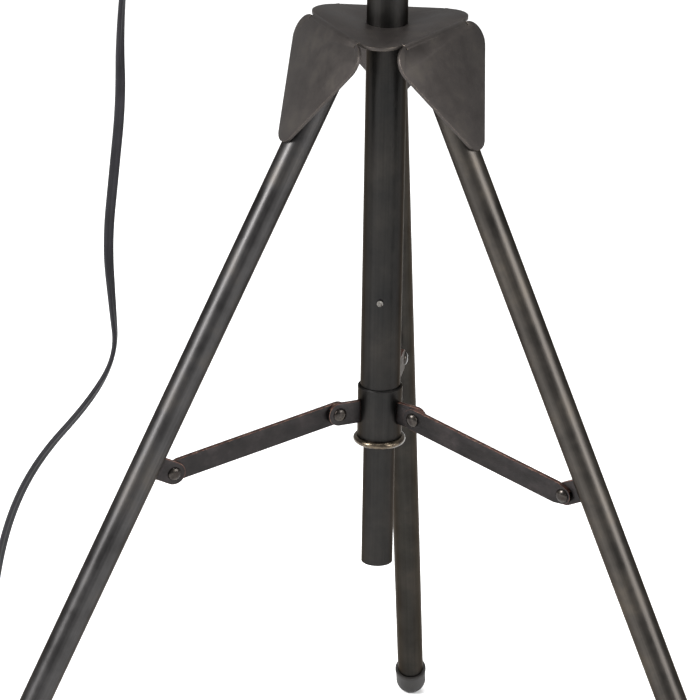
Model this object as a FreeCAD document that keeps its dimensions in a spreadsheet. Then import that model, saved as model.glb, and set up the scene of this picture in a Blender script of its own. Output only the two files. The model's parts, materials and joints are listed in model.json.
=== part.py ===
import FreeCAD, Part
import math
import os

# Tripod floor lamp: folding three-leg stand, telescoping mast and a tilting spot head.
# Millimetres, +Z up, floor at Z = 0, mast axis on Z, head pointing along +X.

os.makedirs("parts", exist_ok=True)
doc = FreeCAD.newDocument("tripod_floor_lamp")
V = FreeCAD.Vector
Rot = FreeCAD.Rotation

# ---------------------------------------------------------------- driving dimensions
DIMS = [
    ("hub_height", 630.0), ("sheet_thk", 2.0), ("plate_corner_r", 14.0), ("bend_r", 2.0),
    ("flange_len", 83.7), ("flange_half_w", 55.0), ("flange_tip_r", 10.0),
    ("leg_dia", 19.0), ("leg_wall", 1.2), ("splay_deg", 26.9), ("leg_axis_r", 23.75),
    ("hinge_drop", 22.0), ("leg_top_gap", 13.0), ("foot_dia", 22.0), ("foot_len", 13.5),
    ("tube_dia", 26.0), ("tube_wall", 1.5), ("tube_low", 352.0), ("tube_high", 870.0),
    ("mast_dia", 20.6), ("mast_wall", 1.2), ("mast_low", 261.0), ("mast_high", 1176.0),
    ("sleeve_dia", 29.0), ("sleeve_low", 350.0), ("sleeve_high", 386.0),
    ("bead_dia", 34.0), ("bead_sec", 4.4), ("run_fit", 0.05),
    ("in_pivot_r", 28.9), ("in_pivot_z", 369.2), ("out_pivot_r", 144.3), ("out_pivot_z", 346.9),
    ("ear_thk", 3.0), ("ear_r", 7.6), ("strut_w", 14.4), ("strut_end_r", 5.8), ("strut_thk", 3.0),
    ("side_gap", 0.35),
    ("rivet_dia", 5.0), ("rivet_head_dia", 9.0), ("rivet_head_thk", 2.0),
    ("head_z", 1365.0), ("drum_dia", 230.0), ("drum_len", 250.0), ("drum_wall", 1.2),
    ("yoke_drop", 185.0), ("yoke_w", 25.0), ("yoke_thk", 4.0), ("yoke_in", 123.0),
    ("cord_dia", 6.6), ("coil_mid_dia", 73.0), ("coil_height", 7.4),
]
sheet = doc.addObject("Spreadsheet::Sheet", "dims")
for row, (alias, value) in enumerate(DIMS, start=1):
    sheet.set("A%d" % row, alias)
    sheet.set("B%d" % row, str(value))
    sheet.setAlias("B%d" % row, alias)
doc.recompute()
D = dict(DIMS)

THETA = math.radians(D["splay_deg"])
TAN = math.tan(THETA)
COS = math.cos(THETA)
LEG_AZ = {"left": 210.0, "right": 330.0, "rear": 90.0}
PIN_R = D["leg_axis_r"] + D["hinge_drop"] * TAN
PIN_Z = D["hub_height"] - D["hinge_drop"]
STRUT_L = math.hypot(D["out_pivot_r"] - D["in_pivot_r"], D["in_pivot_z"] - D["out_pivot_z"])
STRUT_DOWN = math.degrees(math.asin((D["in_pivot_z"] - D["out_pivot_z"]) / STRUT_L))
AX = FreeCAD.Vector(0, 0, 1)


def rotz(deg):
    return Rot(V(0, 0, 1), deg)


def roty(deg):
    return Rot(V(0, 1, 0), deg)


def radial(az, r, z):
    a = math.radians(az)
    return V(r * math.cos(a), r * math.sin(a), z)


def leg_frame(az):
    # origin on the hinge pin, -Z down the leg, +X away from the mast, Y along the pin
    return FreeCAD.Placement(radial(az, PIN_R, PIN_Z), rotz(az).multiply(roty(-D["splay_deg"])))


def strut_frame(az):
    # origin on the inner rivet, +X along the bar to the leg, Y along the rivet
    turn = rotz(az).multiply(roty(STRUT_DOWN))
    return FreeCAD.Placement(radial(az, D["in_pivot_r"], D["in_pivot_z"]), turn)


def bind(obj, **expr):
    for prop, text in expr.items():
        obj.setExpression(prop, text)
    return obj


def place(obj, base=(0, 0, 0), rot=None):
    obj.Placement = FreeCAD.Placement(V(*base), rot or Rot())
    return obj


def cyl(name, radius, height, base=(0, 0, 0), rot=None):
    # radius and height are numbers or expressions on the sheet
    o = doc.addObject("Part::Cylinder", name)
    for prop, value in (("Radius", radius), ("Height", height)):
        if isinstance(value, str):
            o.setExpression(prop, value)
        else:
            setattr(o, prop, value)
    return place(o, base, rot)


def box(name, size, base=(0, 0, 0), rot=None):
    o = doc.addObject("Part::Box", name)
    for prop, value in zip(("Length", "Width", "Height"), size):
        if isinstance(value, str):
            o.setExpression(prop, value)
        else:
            setattr(o, prop, value)
    return place(o, base, rot)


def cone(name, r1, r2, height, base=(0, 0, 0), rot=None):
    o = doc.addObject("Part::Cone", name)
    for prop, value in (("Radius1", r1), ("Radius2", r2), ("Height", height)):
        if isinstance(value, str):
            o.setExpression(prop, value)
        else:
            setattr(o, prop, value)
    return place(o, base, rot)


def sphere(name, radius, base=(0, 0, 0)):
    o = doc.addObject("Part::Sphere", name)
    o.Radius = radius
    return place(o, base)


def cut(name, base, *tools):
    o = doc.addObject("Part::Cut", name)
    o.Base = base
    if len(tools) == 1:
        o.Tool = tools[0]
    else:
        o.Tool = group(name + "_tools", *tools)
    return o


def group(name, *items):
    o = doc.addObject("Part::MultiFuse", name)
    o.Shapes = list(items)
    return o


def common(name, *items):
    o = doc.addObject("Part::MultiCommon", name)
    o.Shapes = list(items)
    return o


def separate(name, items):
    # identical pieces of one node, kept as separate solids
    o = doc.addObject("Part::Compound", name)
    o.Links = list(items)
    return o


def loose(name, shape, placement=None):
    o = doc.addObject("Part::Feature", name)
    o.Shape = shape
    if placement is not None:
        o.Placement = placement
    return o


def ring_tube(name, outer, inner, height, base=(0, 0, 0), rot=None):
    out = cyl(name + "_out", outer, height)
    bore = cyl(name + "_bore", inner, 5000.0, (0, 0, -2000))
    o = cut(name, out, bore)
    return place(o, base, rot)


def revolved(name, points, base=(0, 0, 0), rot=None, angle=360.0):
    # points are (radius, height) round the local Z axis
    body = doc.addObject("PartDesign::Body", name)
    sk = body.newObject("Sketcher::SketchObject", name + "_profile")
    plane = [f for f in body.Origin.OriginFeatures if f.Role == "XZ_Plane"][0]
    sk.AttachmentSupport = [(plane, "")]
    sk.MapMode = "FlatFace"
    n = len(points)
    for i in range(n):
        a = V(points[i][0], points[i][1], 0)
        b = V(points[(i + 1) % n][0], points[(i + 1) % n][1], 0)
        sk.addGeometry(Part.LineSegment(a, b), False)
    rev = body.newObject("PartDesign::Revolution", name + "_turned")
    rev.Profile = sk
    rev.ReferenceAxis = (sk, ["V_Axis"])
    rev.Angle = angle
    body.Tip = rev
    body.Placement = FreeCAD.Placement(V(*base), rot or Rot())
    return body


def slot_plate(name, length, width, end_r, thick, holes, placement):
    # a flat bar with round ends, its face in the local XZ plane and its thickness along +Y;
    # the far end is smaller, and the bar's edges taper in to meet it
    body = doc.addObject("PartDesign::Body", name)
    sk = body.newObject("Sketcher::SketchObject", name + "_outline")
    plane = [f for f in body.Origin.OriginFeatures if f.Role == "XZ_Plane"][0]
    sk.AttachmentSupport = [(plane, "")]
    sk.MapMode = "FlatFace"
    r = width / 2
    taper = 5.0
    beta = math.atan2(r, -taper) - math.acos(end_r / math.hypot(taper, r))
    meet = V(length + end_r * math.cos(beta), end_r * math.sin(beta), 0)
    mirror = V(meet.x, -meet.y, 0)
    sk.addGeometry(Part.LineSegment(V(0, r, 0), V(length - taper, r, 0)), False)
    sk.addGeometry(Part.LineSegment(V(length - taper, r, 0), meet), False)
    right = Part.Circle(V(length, 0, 0), V(0, 0, 1), end_r)
    sk.addGeometry(Part.ArcOfCircle(right, -beta, beta), False)
    sk.addGeometry(Part.LineSegment(mirror, V(length - taper, -r, 0)), False)
    sk.addGeometry(Part.LineSegment(V(length - taper, -r, 0), V(0, -r, 0)), False)
    left = Part.Circle(V(0, 0, 0), V(0, 0, 1), r)
    sk.addGeometry(Part.ArcOfCircle(left, math.pi / 2, 3 * math.pi / 2), False)
    for x, hole_r in holes:
        sk.addGeometry(Part.Circle(V(x, 0, 0), V(0, 0, 1), hole_r), False)
    pad = body.newObject("PartDesign::Pad", name + "_plate")
    pad.Profile = sk
    if isinstance(thick, str):
        pad.setExpression("Length", thick)
    else:
        pad.Length = thick
    body.Tip = pad
    body.Placement = placement
    return body


def dome_points(radius, height, base, steps=5):
    # outline of a domed head from its rim to its crown
    ball = (radius * radius + height * height) / (2 * height)
    full = math.asin(min(1.0, radius / ball))
    pts = []
    for i in range(steps + 1):
        a = full * (1 - i / steps)
        pts.append((ball * math.sin(a), base + height - ball * (1 - math.cos(a))))
    pts[-1] = (0.0, base + height)
    return pts


def rivet(name, shank_r, length, placement, far_head=True):
    # origin at the near head's seat, shank along +Z, near head towards -Z
    hr = D["rivet_head_dia"] / 2
    ht = D["rivet_head_thk"]
    near = [(r, -z) for r, z in dome_points(hr, ht, 0.0)]
    pts = list(reversed(near)) + [(shank_r, 0.0), (shank_r, length)]
    if far_head:
        pts += dome_points(hr, ht, length)
    else:
        pts.append((0.0, length))
    body = revolved(name, pts)
    body.Placement = placement
    return body


NODES = {}


def node(label, obj):
    obj.Label = label
    NODES[label] = obj
    return obj


X_AXIS = roty(90)
Y_AXIS = Rot(V(1, 0, 0), -90)

# ---------------------------------------------------------------- centre tube and hub
LOCK_Z = 812.0
centre_raw = ring_tube("centre_raw", "dims.tube_dia / 2", "dims.tube_dia / 2 - dims.tube_wall",
                       "dims.tube_high - dims.tube_low", (0, 0, D["tube_low"]))
node("centre_tube", cut("centre_tube_f", centre_raw,
                        cyl("screw_hole", 3.5, 30.0, (0, 0, LOCK_Z + 15), Rot(V(1, 0, 0), 90))))

H = D["hub_height"]
T = D["sheet_thk"]
IN_FACE = D["leg_axis_r"] + (D["leg_dia"] / 2 + 0.25) / COS
BEND_R = IN_FACE + (T + D["bend_r"]) * TAN - D["bend_r"] / COS
BEND_C = V(BEND_R, 0, H - T - D["bend_r"])
TURN = 90.0 - D["splay_deg"]
FOLD_HALF = 33.0


def rounded_polygon(corners, radii):
    # closed wire in the XY plane with every corner rounded
    edges = []
    count = len(corners)
    starts = []
    ends = []
    for i in range(count):
        p = corners[i]
        a = (corners[i - 1] - p).normalize()
        b = (corners[(i + 1) % count] - p).normalize()
        half = math.acos(max(-1.0, min(1.0, a.dot(b)))) / 2
        back = radii[i] / math.tan(half)
        mid = (a + b).normalize()
        centre = p + mid * (radii[i] / math.sin(half))
        starts.append(p + a * back)
        ends.append((centre - mid * radii[i], p + b * back))
    for i in range(count):
        edges.append(Part.Arc(starts[i], ends[i][0], ends[i][1]).toShape())
        nxt = starts[(i + 1) % count]
        if (nxt - ends[i][1]).Length > 1e-6:
            edges.append(Part.LineSegment(ends[i][1], nxt).toShape())
    return Part.Wire(edges)


def hub_shape():
    corners = [V(2 * BEND_R * math.cos(math.radians(a)), 2 * BEND_R * math.sin(math.radians(a)), 0)
               for a in (30.0, 150.0, 270.0)]
    top = Part.Face(rounded_polygon(corners, [D["plate_corner_r"]] * 3)).extrude(V(0, 0, T))
    top.translate(V(0, 0, H - T))
    hole = Part.makeCylinder(D["tube_dia"] / 2, 20, V(0, 0, H - 10))
    whole = top.cut(hole)
    for az in LEG_AZ.values():
        low = [V(BEND_R, -FOLD_HALF, H - T), V(BEND_R, FOLD_HALF, H - T)]
        high = [V(BEND_R, FOLD_HALF, H), V(BEND_R, -FOLD_HALF, H)]
        face = Part.Face(Part.makePolygon(low + high + [low[0]]))
        bend = face.revolve(BEND_C, V(0, 1, 0), TURN)
        w = D["flange_half_w"]
        # flange outline in its own plane: X along the fold, Y down the slope
        outline = rounded_polygon([V(-w, -2.0, 0), V(w, -2.0, 0), V(0, D["flange_len"], 0)],
                                  [12.0, 12.0, D["flange_tip_r"]])
        sheet_part = Part.Face(outline).extrude(V(0, 0, T))
        slit = Part.makeBox(2 * FOLD_HALF + 1.0, 12, 10, V(-FOLD_HALF - 0.5, -12, -2))
        sheet_part = sheet_part.cut(slit)
        for side in (-1, 1):
            notch = Part.makeCylinder(0.6, 10, V(side * (FOLD_HALF + 0.3), 0.0, -2))
            sheet_part = sheet_part.cut(notch)
        m = FreeCAD.Matrix()
        # local X -> lateral, local Y -> down the slope, local Z -> outward normal
        down = V(math.sin(THETA), 0, -math.cos(THETA))
        out = V(math.cos(THETA), 0, math.sin(THETA))
        lateral = V(0, 1, 0)
        start = BEND_C + out * D["bend_r"]
        m.A11, m.A21, m.A31 = lateral.x, lateral.y, lateral.z
        m.A12, m.A22, m.A32 = down.x, down.y, down.z
        m.A13, m.A23, m.A33 = out.x, out.y, out.z
        m.A14, m.A24, m.A34 = start.x, start.y, start.z
        if lateral.cross(down).dot(out) < 0:
            m.A11, m.A21, m.A31 = -lateral.x, -lateral.y, -lateral.z
        sheet_part = sheet_part.transformGeometry(m)
        piece = bend.fuse(sheet_part)
        piece.rotate(V(0, 0, 0), V(0, 0, 1), az)
        whole = whole.fuse(piece)
    return whole.removeSplitter()


node("hub_bracket", loose("hub_bracket_f", hub_shape()))

TONGUE = 6.0
LUG_T = 2.5
clevises = []
pins = []
for side, az in LEG_AZ.items():
    frame = leg_frame(az)
    sheet_floor = box("clevis_trim_" + side, (300, 300, 100), (-150, -150, H - T), None)
    cheeks = []
    for s in (-1, 1):
        y0 = TONGUE / 2 + 0.35 if s > 0 else -TONGUE / 2 - 0.35 - LUG_T
        flat = box("cheek_%s_%d" % (side, s), (13.0, LUG_T, 24.0))
        flat.Placement = frame.multiply(FreeCAD.Placement(V(-6.5, y0, 0), Rot()))
        eye = cyl("cheek_eye_%s_%d" % (side, s), 6.5, LUG_T)
        eye.Placement = frame.multiply(FreeCAD.Placement(V(0, y0, 0), Y_AXIS))
        cheeks.append(group("cheek_body_%s_%d" % (side, s), flat, eye))
    pin_hole = cyl("clevis_hole_" + side, "dims.rivet_dia / 2", 40.0)
    pin_hole.Placement = frame.multiply(FreeCAD.Placement(V(0, -20, 0), Y_AXIS))
    both = group("clevis_cheeks_" + side, *cheeks)
    web = box("clevis_web_" + side, (12.0, TONGUE + 0.7 + 2 * LUG_T, 2.0))
    top_r = D["leg_axis_r"] + T * TAN
    web.Placement = FreeCAD.Placement(radial(az, top_r + 1.2, H - T - 2.0), rotz(az)).multiply(
        FreeCAD.Placement(V(-6.0, -(TONGUE + 0.7) / 2 - LUG_T, 0), Rot()))
    clevises.append(cut("leg_clevis_" + side, group("clevis_raw_" + side, both, web), pin_hole, sheet_floor))
    pin = cyl("hinge_pin_body_" + side, "dims.rivet_dia / 2", TONGUE + 0.7 + 2 * LUG_T)
    pin.Placement = frame.multiply(FreeCAD.Placement(V(0, -TONGUE / 2 - 0.35 - LUG_T, 0), Y_AXIS))
    caps = []
    for s in (-1, 1):
        cap = cyl("hinge_pin_head_%s_%d" % (side, s), 4.0, 1.6)
        y0 = TONGUE / 2 + 0.35 + LUG_T if s > 0 else -TONGUE / 2 - 0.35 - LUG_T - 1.6
        cap.Placement = frame.multiply(FreeCAD.Placement(V(0, y0, 0), Y_AXIS))
        caps.append(cap)
    pins.append(group("hinge_pin_" + side, pin, *caps))
node("leg_clevises", separate("leg_clevises_f", clevises))
node("hinge_pins", separate("hinge_pins_f", pins))

# bushes that guide the mast inside the centre tube, pressed into the tube
node("lower_bush", ring_tube("lower_bush_f", "dims.tube_dia / 2 - dims.tube_wall",
                             "dims.mast_dia / 2 + dims.run_fit", 20.0, (0, 0, 354)))
node("upper_bush", revolved("upper_bush_f", [
    (D["mast_dia"] / 2 + 0.05, 0.0), (11.5, 0.0), (11.5, 22.0), (14.5, 22.0),
    (14.5, 25.0), (D["mast_dia"] / 2 + 0.05, 25.0)], (0, 0, D["tube_high"] - 22)))

# clamp collar on top of the centre tube, with its boss on the -Y side for the lock knob
lock_raw = group("lock_raw", cyl("lock_ring", 17.0, 30.0, (0, 0, LOCK_Z)),
                 cyl("lock_boss", 8.0, 26.0, (0, 0, LOCK_Z + 15), Rot(V(1, 0, 0), 90)))
node("lock_collar", cut("lock_collar_f", lock_raw,
                        cyl("lock_bore", "dims.tube_dia / 2", 60.0, (0, 0, LOCK_Z - 10)),
                        cyl("lock_thread", 3.05, 40.0, (0, -10, LOCK_Z + 15), Rot(V(1, 0, 0), 90))))
knob_points = [(0.0, 0.0), (3.0, 0.0), (3.0, 15.7), (6.0, 15.7), (10.5, 18.5), (12.5, 21.0),
               (12.5, 29.5), (11.0, 31.5), (0.0, 32.5)]
node("height_knob", revolved("height_knob_f", knob_points, (0, -10.7, LOCK_Z + 15), Rot(V(1, 0, 0), 90)))

# stop pin that ends the spreader's travel up the tube
node("travel_stop_pin", common("travel_stop_pin_f",
                               cyl("stop_pin_rod", 2.0, 5.0, (0, -11.5, 446.6), Rot(V(1, 0, 0), 90)),
                               ring_tube("stop_pin_shell", 14.6, 13.0, 20.0, (0, 0, 436))))

# ---------------------------------------------------------------- spreader collar
SLEEVE_IN = D["tube_dia"] / 2 + D["run_fit"]
SL = D["sleeve_dia"] / 2
node("spreader_sleeve", revolved("spreader_sleeve_f", [
    (SLEEVE_IN, 0.0), (SL, 0.0), (SL, D["sleeve_high"] - D["sleeve_low"] - 0.8),
    (SL - 0.8, D["sleeve_high"] - D["sleeve_low"]), (SLEEVE_IN, D["sleeve_high"] - D["sleeve_low"])],
    (0, 0, D["sleeve_low"])))
bead = doc.addObject("Part::Torus", "bead_body")
bind(bead, Radius1="dims.bead_dia / 2 - dims.bead_sec / 2", Radius2="dims.bead_sec / 2")
place(bead, (0, 0, 348.4))
node("spreader_bead", cut("spreader_bead_f", bead,
                          cyl("bead_clear", SL, 40.0, (0, 0, D["sleeve_low"])),
                          cyl("bead_bore", SLEEVE_IN, 80.0, (0, 0, 300))))

EAR_T = D["ear_thk"]
GAP = D["side_gap"]
ears = []
inner_rivets = []
for side, az in LEG_AZ.items():
    at = FreeCAD.Placement(radial(az, D["in_pivot_r"], D["in_pivot_z"]), rotz(az))
    pad = cyl("ear_pad_" + side, "dims.ear_r", "dims.ear_thk")
    pad.Placement = at.multiply(FreeCAD.Placement(V(0, -EAR_T / 2, 0), Y_AXIS))
    neck = box("ear_neck_" + side, (D["in_pivot_r"] - 10.0, "dims.ear_thk", 2 * D["ear_r"]))
    neck_at = V(10.0 - D["in_pivot_r"], -EAR_T / 2, -D["ear_r"])
    neck.Placement = at.multiply(FreeCAD.Placement(neck_at, Rot()))
    core = cyl("ear_core_" + side, "dims.sleeve_dia / 2", 60.0, (0, 0, 340))
    eye = cyl("ear_eye_" + side, "dims.rivet_dia / 2", 20.0)
    eye.Placement = at.multiply(FreeCAD.Placement(V(0, -10, 0), Y_AXIS))
    ears.append(cut("ear_" + side, group("ear_raw_" + side, pad, neck), core, eye))
    y_end = -(EAR_T / 2 + GAP + D["strut_thk"] + 0.3)
    seat = at.multiply(FreeCAD.Placement(V(0, y_end, 0), Y_AXIS))
    inner_rivets.append(rivet("inner_rivet_" + side, D["rivet_dia"] / 2, EAR_T / 2 - y_end, seat))
node("spreader_ears", separate("spreader_ears_f", ears))
node("inner_rivets", separate("inner_rivets_f", inner_rivets))

# ---------------------------------------------------------------- struts and legs
for side, az in LEG_AZ.items():
    sf = strut_frame(az)
    y_far = -(EAR_T / 2 + GAP)
    bar_at = sf.multiply(FreeCAD.Placement(V(0, y_far, 0), Rot()))
    bar = slot_plate("strut_bar_%s_f" % side, STRUT_L, D["strut_w"], D["strut_end_r"], "dims.strut_thk",
                     [(0.0, D["rivet_dia"] / 2 + 0.06), (STRUT_L, D["rivet_dia"] / 2)], bar_at)
    node("strut_bar_" + side, bar)
    # the strut's half of the outer rivet: its shank ends at the bar's inner face
    seat = sf.multiply(FreeCAD.Placement(V(STRUT_L, y_far - D["strut_thk"], 0), Y_AXIS))
    headed = rivet("strut_rivet_%s_f" % side, D["rivet_dia"] / 2, D["strut_thk"], seat, False)
    node("strut_rivet_" + side, headed)

    lf = leg_frame(az)
    leg_top = -D["leg_top_gap"]
    # the leg runs from below the hinge to the foot; the foot's dome stands on the floor
    dome_r = D["foot_dia"] / 2
    to_dome = (PIN_Z - dome_r + 0.6) / COS
    tube_len = to_dome - D["leg_top_gap"] - 2.0
    tube = ring_tube("leg_tube_%s_f" % side, "dims.leg_dia / 2", "dims.leg_dia / 2 - dims.leg_wall", tube_len)
    tube.Placement = lf.multiply(FreeCAD.Placement(V(0, 0, leg_top - tube_len), Rot()))
    node("leg_tube_" + side, tube)
    plug = cyl("knuckle_plug_" + side, "dims.leg_dia / 2 - dims.leg_wall", 22.0)
    plug.Placement = lf.multiply(FreeCAD.Placement(V(0, 0, leg_top - 22.0), Rot()))
    rim = cyl("knuckle_rim_" + side, "dims.leg_dia / 2", 2.0)
    rim.Placement = lf.multiply(FreeCAD.Placement(V(0, 0, leg_top), Rot()))
    tongue = box("knuckle_tongue_" + side, (12.0, TONGUE, 12.0))
    tongue.Placement = lf.multiply(FreeCAD.Placement(V(-6.0, -TONGUE / 2, leg_top + 1.0), Rot()))
    nose = cyl("knuckle_nose_" + side, 6.0, TONGUE)
    nose.Placement = lf.multiply(FreeCAD.Placement(V(0, -TONGUE / 2, 0), Y_AXIS))
    hole = cyl("knuckle_hole_" + side, D["rivet_dia"] / 2 + 0.06, 30.0)
    hole.Placement = lf.multiply(FreeCAD.Placement(V(0, -15, 0), Y_AXIS))
    knuckle = group("knuckle_raw_" + side, plug, rim, tongue, nose)
    node("leg_knuckle_" + side, cut("leg_knuckle_%s_f" % side, knuckle, hole))
    # foot: a sleeve with a small lip, a dome and a flat that stands level on the floor
    lip = cyl("foot_lip_" + side, dome_r + 0.5, 2.5)
    lip.Placement = lf.multiply(FreeCAD.Placement(V(0, 0, -to_dome + D["foot_len"] - 2.5), Rot()))
    barrel = cyl("foot_barrel_" + side, "dims.foot_dia / 2", "dims.foot_len")
    barrel.Placement = lf.multiply(FreeCAD.Placement(V(0, 0, -to_dome), Rot()))
    ball = sphere("foot_ball_" + side, dome_r)
    ball.Placement = lf.multiply(FreeCAD.Placement(V(0, 0, -to_dome), Rot()))
    bore = cyl("foot_bore_" + side, "dims.leg_dia / 2", 60.0)
    bore.Placement = lf.multiply(FreeCAD.Placement(V(0, 0, -to_dome + 2.0), Rot()))
    level = box("foot_level_" + side, (2000, 2000, 100), (-1000, -1000, -100))
    cap_body = group("foot_raw_" + side, lip, barrel, ball)
    node("leg_foot_" + side, cut("leg_foot_%s_f" % side, cap_body, bore, level))
    # lug for the strut, its round end on the outer pivot
    along = V(D["out_pivot_r"] - PIN_R, 0, D["out_pivot_z"] - PIN_Z)
    down = along.dot(V(math.sin(THETA), 0, -math.cos(THETA)))
    reach = -along.dot(V(math.cos(THETA), 0, math.sin(THETA)))
    eye_at = V(-reach, 0, -down)
    pad = cyl("lug_pad_" + side, "dims.ear_r", "dims.ear_thk")
    pad.Placement = lf.multiply(FreeCAD.Placement(eye_at + V(0, -EAR_T / 2, 0), Y_AXIS))
    neck = box("lug_neck_" + side, (reach, "dims.ear_thk", 2 * D["ear_r"]))
    neck.Placement = lf.multiply(FreeCAD.Placement(eye_at + V(0, -EAR_T / 2, -D["ear_r"]), Rot()))
    core = cyl("lug_core_" + side, "dims.leg_dia / 2", 80.0)
    core.Placement = lf.multiply(FreeCAD.Placement(V(0, 0, -down - 40.0), Rot()))
    eye = cyl("lug_eye_" + side, "dims.rivet_dia / 2", 30.0)
    eye.Placement = lf.multiply(FreeCAD.Placement(eye_at + V(0, -15, 0), Y_AXIS))
    node("leg_lug_" + side, cut("leg_lug_%s_f" % side, group("lug_raw_" + side, pad, neck), core, eye))
    seat = lf.multiply(FreeCAD.Placement(eye_at + V(0, EAR_T / 2, 0), Rot(V(1, 0, 0), 90)))
    node("lug_rivet_" + side, rivet("lug_rivet_%s_f" % side, D["rivet_dia"] / 2, EAR_T, seat, False))

# ---------------------------------------------------------------- mast
node("mast_tube", ring_tube("mast_tube_f", "dims.mast_dia / 2", "dims.mast_dia / 2 - dims.mast_wall",
                            "dims.mast_high - dims.mast_low", (0, 0, D["mast_low"])))
YZ = D["head_z"] - D["yoke_drop"]
node("mast_top_boss", revolved("mast_top_boss_f", [
    (0.0, D["mast_high"] - 26), (9.1, D["mast_high"] - 26), (9.1, D["mast_high"]), (13.0, D["mast_high"]),
    (15.0, D["mast_high"] + 1.5), (15.0, YZ), (4.0, YZ), (4.0, YZ - 12), (0.0, YZ - 12)]))


def yoke_shape():
    w = D["yoke_w"]
    t = D["yoke_thk"]
    half = D["yoke_in"] + t
    arm_top = D["head_z"]
    r_out = 16.0
    pts_out = rounded_polygon([V(-half, arm_top, 0), V(-half, YZ, 0), V(half, YZ, 0), V(half, arm_top, 0)],
                              [0.01, r_out, r_out, 0.01])
    pts_in = rounded_polygon([V(-half + t, arm_top + 1, 0), V(-half + t, YZ + t, 0), V(half - t, YZ + t, 0),
                              V(half - t, arm_top + 1, 0)], [0.01, r_out - t, r_out - t, 0.01])
    solid = Part.Face(pts_out).extrude(V(0, 0, w)).cut(Part.Face(pts_in).extrude(V(0, 0, w)))
    # drawn in XY: X is the lamp's Y and Y is its Z
    m = FreeCAD.Matrix(0, 0, 1, -w / 2, 1, 0, 0, 0, 0, 1, 0, 0, 0, 0, 0, 1)
    solid = solid.transformGeometry(m)
    for s in (-1, 1):
        y0 = D["yoke_in"] if s > 0 else -D["yoke_in"] - t
        solid = solid.fuse(Part.makeCylinder(w / 2, t, V(0, y0, arm_top), V(0, 1, 0)))
    solid = solid.cut(Part.makeCylinder(4.05, 400, V(0, -200, arm_top), V(0, 1, 0)))
    solid = solid.cut(Part.makeCylinder(4.0, 20, V(0, 0, YZ - 5)))
    return solid.removeSplitter()


node("yoke", loose("yoke_f", yoke_shape()))
node("yoke_bolt", revolved("yoke_bolt_f", [
    (0.0, YZ - 12), (4.0, YZ - 12), (4.0, YZ + D["yoke_thk"]), (7.0, YZ + D["yoke_thk"]),
    (7.0, YZ + D["yoke_thk"] + 2.5), (5.0, YZ + D["yoke_thk"] + 4.5), (0.0, YZ + D["yoke_thk"] + 5.0)]))

# ---------------------------------------------------------------- spot head, axis along X
HZ = D["head_z"]
DR = D["drum_dia"] / 2
X0 = -D["drum_len"] / 2
X1 = D["drum_len"] / 2
W = D["drum_wall"]
node("shade_drum", revolved("shade_drum_f", [
    (DR - W, 0.0), (DR, 0.0), (DR, D["drum_len"]), (DR - W, D["drum_len"])], (X0, 0, HZ), X_AXIS))
node("shade_back", revolved("shade_back_f", [
    (0.0, -14.0), (60.0, -14.0), (DR - 6.0, -4.0), (DR - W, 0.0), (DR - W, 8.0), (DR - 2 * W, 8.0),
    (DR - 2 * W, 1.2), (DR - 6.4, -2.2), (59.6, -12.4), (0.0, -12.4)], (X0, 0, HZ), X_AXIS))
node("front_bezel", revolved("front_bezel_f", [
    (DR, 0.0), (DR + 2.5, 1.0), (DR + 2.5, 11.0), (DR - 8.0, 13.0), (DR - 8.0, 12.0), (DR - W, 10.6),
    (DR - W, 10.0), (DR, 10.0)], (X1 - 10.0, 0, HZ), X_AXIS))
cap = revolved("rear_cap_body", [
    (0.0, 0.0), (52.0, 0.0), (52.0, 40.0), (48.0, 50.0), (38.0, 57.0), (0.0, 60.0), (0.0, 58.4),
    (37.6, 55.4), (46.8, 49.0), (50.4, 39.6), (50.4, 1.6), (0.0, 1.6)], (X0 - 14.0, 0, HZ), roty(-90))
GLAND_X = -168.0
slots = []
for i in range(8):
    a = 22.5 + 45.0 * i
    s = box("vent_%d" % i, (22.0, 5.0, 14.0))
    s.Placement = FreeCAD.Placement(V(X0 - 42.0, 0, HZ), Rot(V(1, 0, 0), a)).multiply(
        FreeCAD.Placement(V(-11.0, -2.5, 44.0), Rot()))
    slots.append(s)
slots.append(cyl("gland_hole", 5.5, 30.0, (GLAND_X, 0, HZ - 65.0)))
node("rear_cap", cut("rear_cap_f", cap, *slots))
node("lampholder", revolved("lampholder_f", [
    (0.0, 0.0), (19.0, 0.0), (21.0, 3.0), (21.0, 44.0), (18.5, 46.0), (14.0, 46.0), (14.0, 16.0),
    (0.0, 16.0)],
    (X0 - 12.4, 0, HZ), X_AXIS))
node("bulb", revolved("bulb_f", [
    (0.0, 0.0), (9.0, 0.0), (13.2, 3.0), (13.2, 31.0), (17.0, 37.0), (26.0, 51.0), (29.5, 62.0), (30.0, 71.0),
    (28.0, 82.5), (22.0, 92.5), (12.0, 99.0), (0.0, 101.0), (0.0, 100.0), (11.6, 98.0), (21.2, 91.8),
    (27.0, 82.1), (29.0, 71.0), (28.5, 62.3), (25.1, 51.5), (16.1, 37.5), (12.2, 31.4), (12.2, 4.0),
    (8.6, 1.2), (0.0, 1.2)], (X0 - 12.4 + 17.0, 0, HZ), X_AXIS))
gland_z = HZ - 51.0
node("cord_gland", revolved("cord_gland_f", [
    (3.7, -30.0), (5.0, -30.0), (6.4, -10.0), (8.5, -9.0), (8.5, -2.6), (5.5, -1.8), (5.5, 5.0), (3.7, 5.0)],
    (GLAND_X, 0, gland_z)))
pivots = []
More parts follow.
